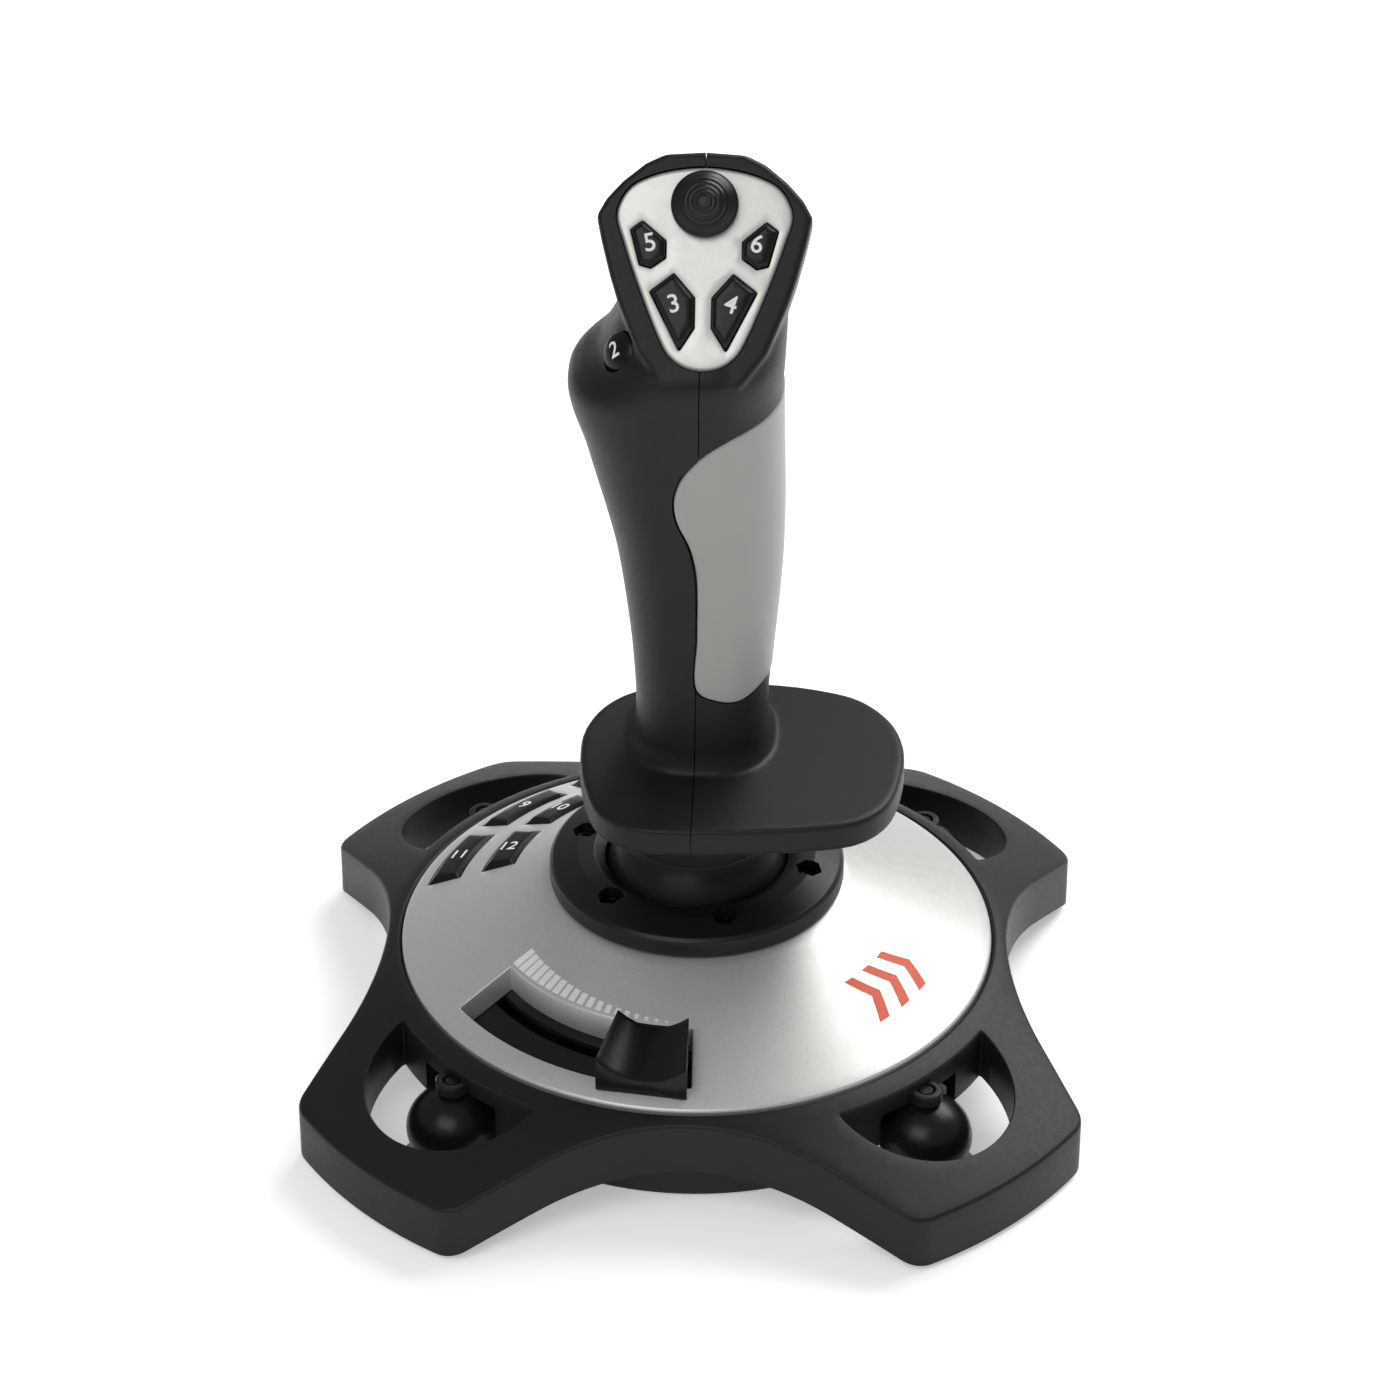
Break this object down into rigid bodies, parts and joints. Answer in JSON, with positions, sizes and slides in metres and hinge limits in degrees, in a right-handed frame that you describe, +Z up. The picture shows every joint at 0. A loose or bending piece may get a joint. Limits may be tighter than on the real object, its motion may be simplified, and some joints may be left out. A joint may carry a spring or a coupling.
{
  "type": "flight joystick",
  "caption": "Desktop flight joystick: an X-shaped base with a conical top plate, throttle slider and keys, and a tilting, twisting grip with hat switch, buttons and trigger.",
  "frame": {"origin": "centre of the footprint, on the table under the base", "axes": "+Z up, the user sits on the -Y side, +X is the user's right"},
  "size_m": [0.2062, 0.2062, 0.2673],
  "materials": {
    "black_plastic": "satin moulded black, fine spark texture",
    "key_plastic": "smooth black, semi-gloss",
    "silver_paint": "metallic silver paint, satin",
    "white_silver": "pearl silver-white paint, satin",
    "grey_rubber": "soft-touch grey coating",
    "black_rubber": "smooth black rubber",
    "steel": "zinc-plated steel",
    "inner_plastic": "moulded dark grey",
    "circuit_board": "green solder mask"
  },
  "bodies": {
    "base": {"base_shell": "black_plastic", "bottom_cover": "black_plastic", "top_plate": "silver_paint", "hub_ring": "black_plastic", "hub_screw_1": "steel", "hub_screw_2": "steel", "hub_screw_3": "steel", "hub_screw_4": "steel", "hub_screw_5": "steel", "hub_screw_6": "steel", "cover_screw_1": "steel", "cover_screw_2": "steel", "cover_screw_3": "steel", "cover_screw_4": "steel", "suction_cup_1": "black_rubber", "suction_cup_2": "black_rubber", "suction_cup_3": "black_rubber", "suction_cup_4": "black_rubber", "cable_inlet": "black_rubber", "main_board": "circuit_board", "key_board": "circuit_board", "gimbal_housing": "inner_plastic", "pitch_spring": "steel", "tilt_sensor_board": "circuit_board", "throttle_track": "black_plastic", "throttle_sensor": "circuit_board"},
    "pitch_frame": {"pitch_cradle": "inner_plastic", "roll_spring": "steel"},
    "stick": {"roll_block": "inner_plastic", "stick_shaft": "steel", "tilt_magnet": "steel", "pivot_dome": "black_plastic", "twist_spring": "steel"},
    "grip": {"grip_left": "black_plastic", "grip_right": "black_plastic", "side_panel": "grey_rubber", "face_plate": "white_silver", "head_board": "circuit_board", "twist_sensor": "inner_plastic", "trigger_pin": "steel", "trigger_switch": "inner_plastic", "trigger_spring": "steel", "grip_screw_1": "steel", "grip_screw_2": "steel"},
    "trigger": {"trigger": "key_plastic"},
    "hat_ring": {"hat_ring": "inner_plastic"},
    "hat_cap": {"hat_cap": "black_rubber"},
    "throttle": {"throttle_arm": "inner_plastic", "throttle_knob": "key_plastic"},
    "button_2": {"button_2": "key_plastic"},
    "button_3": {"button_3": "key_plastic"},
    "button_4": {"button_4": "key_plastic"},
    "button_5": {"button_5": "key_plastic"},
    "button_6": {"button_6": "key_plastic"},
    "button_7": {"button_7": "key_plastic"},
    "button_8": {"button_8": "key_plastic"},
    "button_9": {"button_9": "key_plastic"},
    "button_10": {"button_10": "key_plastic"},
    "button_11": {"button_11": "key_plastic"},
    "button_12": {"button_12": "key_plastic"}
  },
  "joints": [
    {"name": "pitch", "type": "hinge", "parent": "base", "child": "pitch_frame", "pos_m": [0, 0, 0.048], "axis": [1, 0, 0], "range_deg": [-15, 15], "stiffness_Nm_per_rad": 4, "deforming": ["pitch_spring"]},
    {"name": "roll", "type": "hinge", "parent": "pitch_frame", "child": "stick", "pos_m": [0, 0, 0.048], "axis": [0, 1, 0], "range_deg": [-15, 15], "stiffness_Nm_per_rad": 4, "deforming": ["roll_spring"]},
    {"name": "twist", "type": "hinge", "parent": "stick", "child": "grip", "pos_m": [0, 0, 0.048], "axis": [0, 0, 1], "range_deg": [-15, 15], "stiffness_Nm_per_rad": 1, "deforming": ["twist_spring"]},
    {"name": "throttle", "type": "hinge", "parent": "base", "child": "throttle", "pos_m": [0, 0, 0.028], "axis": [0, 0, 1], "range_deg": [-36, 0]},
    {"name": "trigger", "type": "hinge", "parent": "grip", "child": "trigger", "pos_m": [0.00187, 0.019, 0.233], "axis": [-1, 0, 0], "range_deg": [0, 9], "stiffness_Nm_per_rad": 0.4, "deforming": ["trigger_spring"]},
    {"name": "hat_pitch", "type": "hinge", "parent": "grip", "child": "hat_ring", "pos_m": [0.0023, -0.00137, 0.25363], "axis": [1, 0, 0], "range_deg": [-9, 9], "stiffness_Nm_per_rad": 0.05},
    {"name": "hat_roll", "type": "hinge", "parent": "hat_ring", "child": "hat_cap", "pos_m": [0.0023, -0.00137, 0.25363], "axis": [0, 0.5736, 0.8191], "range_deg": [-9, 9], "stiffness_Nm_per_rad": 0.05},
    {"name": "button_2", "type": "slide", "parent": "grip", "child": "button_2", "axis": [0.6624, 0.5821, -0.4717], "range_m": [0, 0.0008], "stiffness_N_per_m": 1500},
    {"name": "button_3", "type": "slide", "parent": "grip", "child": "button_3", "axis": [0, 0.8191, -0.5736], "range_m": [0, 0.0008], "stiffness_N_per_m": 1500},
    {"name": "button_4", "type": "slide", "parent": "grip", "child": "button_4", "axis": [0, 0.8191, -0.5736], "range_m": [0, 0.0008], "stiffness_N_per_m": 1500},
    {"name": "button_5", "type": "slide", "parent": "grip", "child": "button_5", "axis": [0, 0.8191, -0.5736], "range_m": [0, 0.0008], "stiffness_N_per_m": 1500},
    {"name": "button_6", "type": "slide", "parent": "grip", "child": "button_6", "axis": [0, 0.8191, -0.5736], "range_m": [0, 0.0008], "stiffness_N_per_m": 1500},
    {"name": "button_7", "type": "slide", "parent": "base", "child": "button_7", "axis": [0, 0, -1], "range_m": [0, 0.0008], "stiffness_N_per_m": 1500},
    {"name": "button_8", "type": "slide", "parent": "base", "child": "button_8", "axis": [0, 0, -1], "range_m": [0, 0.0008], "stiffness_N_per_m": 1500},
    {"name": "button_9", "type": "slide", "parent": "base", "child": "button_9", "axis": [0, 0, -1], "range_m": [0, 0.0008], "stiffness_N_per_m": 1500},
    {"name": "button_10", "type": "slide", "parent": "base", "child": "button_10", "axis": [0, 0, -1], "range_m": [0, 0.0008], "stiffness_N_per_m": 1500},
    {"name": "button_11", "type": "slide", "parent": "base", "child": "button_11", "axis": [0, 0, -1], "range_m": [0, 0.0008], "stiffness_N_per_m": 1500},
    {"name": "button_12", "type": "slide", "parent": "base", "child": "button_12", "axis": [0, 0, -1], "range_m": [0, 0.0008], "stiffness_N_per_m": 1500}
  ]
}
